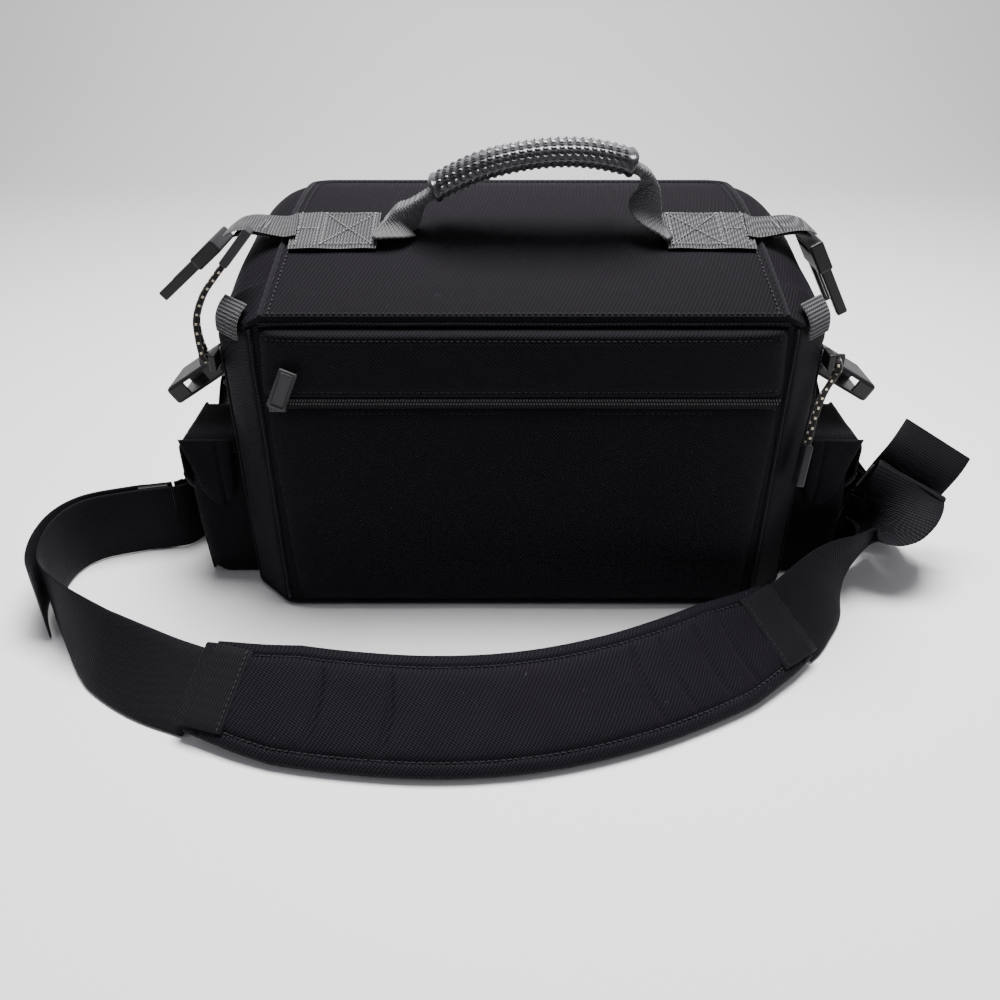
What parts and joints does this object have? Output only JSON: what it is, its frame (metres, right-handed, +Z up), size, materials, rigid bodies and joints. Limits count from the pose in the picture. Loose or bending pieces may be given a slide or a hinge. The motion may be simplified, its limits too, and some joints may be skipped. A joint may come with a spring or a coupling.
{
  "type": "camera bag",
  "caption": "Soft padded camera bag with a zipped lid, carry handle, side-release buckles, side pockets, flat zipped pockets and a padded shoulder strap.",
  "frame": {"origin": "middle of the bag's flat base, on the surface it stands on", "axes": "+X along the bag's length, -Y out of the panel worn against the body, +Z up"},
  "size_m": [0.6192, 0.3291, 0.2792],
  "materials": {
    "black_fabric": "woven",
    "padded_lining": "brushed",
    "board": "satin",
    "zip_tape": "woven",
    "grey_webbing": "ribbed webbing",
    "black_webbing": "ribbed webbing",
    "rubber_grip": "matt",
    "black_plastic": "satin",
    "pull_cord": "braided"
  },
  "bodies": {
    "bag_body": {"body_shell": "black_fabric", "base_board": "board", "padded_liner": "padded_lining", "divider_left": "padded_lining", "divider_right": "padded_lining", "back_panel_upper": "black_fabric", "back_panel_lower": "black_fabric", "back_zip_chain": "zip_tape", "front_panel_upper": "black_fabric", "front_panel_lower": "black_fabric", "front_zip_chain": "zip_tape", "side_pocket_left": "black_fabric", "side_pocket_right": "black_fabric", "body_zip_tape": "zip_tape", "socket_webbing_left": "grey_webbing", "socket_webbing_right": "grey_webbing", "ring_tab_left": "black_webbing", "ring_tab_right": "black_webbing", "strap_end_left": "black_webbing", "strap_end_right": "black_webbing"},
    "lid": {"lid_shell": "black_fabric", "lid_padding": "padded_lining", "lid_zip_tape": "zip_tape", "handle_patch_left": "grey_webbing", "handle_patch_right": "grey_webbing", "lid_strap_left": "grey_webbing", "lid_strap_right": "grey_webbing", "zip_end_tab_left": "grey_webbing", "zip_end_tab_right": "grey_webbing"},
    "handle": {"handle_riser_left": "grey_webbing", "handle_riser_right": "grey_webbing", "handle_grip": "rubber_grip"},
    "shoulder_strap": {"shoulder_pad": "black_fabric", "strap_band_left": "black_webbing", "strap_band_right": "black_webbing", "strap_tail_left": "black_webbing", "strap_tail_right": "black_webbing"},
    "back_slider": {"back_zip_slider": "black_plastic"},
    "back_pull": {"back_zip_pull": "rubber_grip"},
    "front_slider": {"front_zip_slider": "black_plastic"},
    "front_pull": {"front_zip_pull": "rubber_grip"},
    "plug_left": {"buckle_plug_left": "black_plastic"},
    "socket_left": {"buckle_socket_left": "black_plastic"},
    "flap_left": {"pocket_flap_left": "black_fabric"},
    "ring_left": {"strap_ring_left": "black_plastic"},
    "adjuster_left": {"strap_adjuster_left": "black_plastic"},
    "main_slider_left": {"main_zip_slider_left": "black_plastic"},
    "cord_pull_left": {"zip_cord_left": "pull_cord", "cord_end_left": "black_plastic"},
    "plug_right": {"buckle_plug_right": "black_plastic"},
    "socket_right": {"buckle_socket_right": "black_plastic"},
    "flap_right": {"pocket_flap_right": "black_fabric"},
    "ring_right": {"strap_ring_right": "black_plastic"},
    "adjuster_right": {"strap_adjuster_right": "black_plastic"},
    "main_slider_right": {"main_zip_slider_right": "black_plastic"},
    "cord_pull_right": {"zip_cord_right": "pull_cord", "cord_end_right": "black_plastic"}
  },
  "joints": [
    {"name": "lid_hinge", "type": "hinge", "parent": "bag_body", "child": "lid", "pos_m": [0, -0.0755, 0.1955], "axis": [1, 0, 0], "range_deg": [0, 120]},
    {"name": "handle_swing", "type": "hinge", "parent": "lid", "child": "handle", "pos_m": [0, -0.003, 0.2352], "axis": [1, 0, 0], "range_deg": [-52, 80]},
    {"name": "plug_left_swing", "type": "hinge", "parent": "lid", "child": "plug_left", "pos_m": [-0.179, -0.002, 0.2235], "axis": [0, 1, 0], "range_deg": [0, 75]},
    {"name": "plug_right_swing", "type": "hinge", "parent": "lid", "child": "plug_right", "pos_m": [0.1718, -0.002, 0.2243], "axis": [0, 1, 0], "range_deg": [-50, 0]},
    {"name": "socket_left_swing", "type": "hinge", "parent": "bag_body", "child": "socket_left", "pos_m": [-0.1868, -0.002, 0.149], "axis": [0, 1, 0], "range_deg": [0, 90]},
    {"name": "socket_right_swing", "type": "hinge", "parent": "bag_body", "child": "socket_right", "pos_m": [0.1868, -0.002, 0.149], "axis": [0, 1, 0], "range_deg": [-84, 0]},
    {"name": "flap_left_hinge", "type": "hinge", "parent": "bag_body", "child": "flap_left", "pos_m": [-0.1789, -0.013, 0.1065], "axis": [0, 1, 0], "range_deg": [0, 28]},
    {"name": "flap_right_hinge", "type": "hinge", "parent": "bag_body", "child": "flap_right", "pos_m": [0.1789, -0.013, 0.1065], "axis": [0, 1, 0], "range_deg": [-28, 0]},
    {"name": "back_zip_slide", "type": "slide", "parent": "bag_body", "child": "back_slider", "axis": [1, 0, 0], "range_m": [0, 0.27]},
    {"name": "back_pull_hinge", "type": "hinge", "parent": "back_slider", "child": "back_pull", "pos_m": [-0.14, -0.086, 0.15], "axis": [1, 0, 0], "range_deg": [0, 160]},
    {"name": "front_zip_slide", "type": "slide", "parent": "bag_body", "child": "front_slider", "axis": [-1, 0, 0], "range_m": [0, 0.25]},
    {"name": "front_pull_hinge", "type": "hinge", "parent": "front_slider", "child": "front_pull", "pos_m": [0.126, 0.103, 0.126], "axis": [1, 0, 0], "range_deg": [0, 160]},
    {"name": "main_zip_left_slide", "type": "slide", "parent": "lid", "child": "main_slider_left", "axis": [0, 1, 0], "range_m": [0, 0.018]},
    {"name": "main_zip_right_slide", "type": "slide", "parent": "bag_body", "child": "main_slider_right", "axis": [0, 1, 0], "range_m": [0, 0.006]},
    {"name": "cord_left_swing", "type": "hinge", "parent": "main_slider_left", "child": "cord_pull_left", "pos_m": [-0.1878, -0.047, 0.1633], "axis": [0, 1, 0], "range_deg": [-120, 0]},
    {"name": "cord_right_swing", "type": "hinge", "parent": "main_slider_right", "child": "cord_pull_right", "pos_m": [0.1878, -0.047, 0.1633], "axis": [0, 1, 0], "range_deg": [-120, 0]},
    {"name": "shoulder_strap_lift", "type": "hinge", "parent": "bag_body", "child": "shoulder_strap", "pos_m": [0, 0.047, 0.1176], "axis": [1, 0, 0], "range_deg": [-118, 0], "deforming": ["strap_end_left", "strap_end_right"]},
    {"name": "ring_left_swing", "type": "hinge", "parent": "bag_body", "child": "ring_left", "pos_m": [-0.185, 0.047, 0.131], "axis": [0, 1, 0], "range_deg": [-6, 6]},
    {"name": "ring_right_swing", "type": "hinge", "parent": "bag_body", "child": "ring_right", "pos_m": [0.185, 0.047, 0.131], "axis": [0, 1, 0], "range_deg": [-6, 6]},
    {"name": "adjuster_left_slide", "type": "slide", "parent": "shoulder_strap", "child": "adjuster_left", "axis": [-0.973, -0.2307, 0], "range_m": [-0.002, 0.004]},
    {"name": "adjuster_right_slide", "type": "slide", "parent": "shoulder_strap", "child": "adjuster_right", "axis": [0.354, -0.132, 0.9259], "range_m": [-0.002, 0.002]}
  ]
}
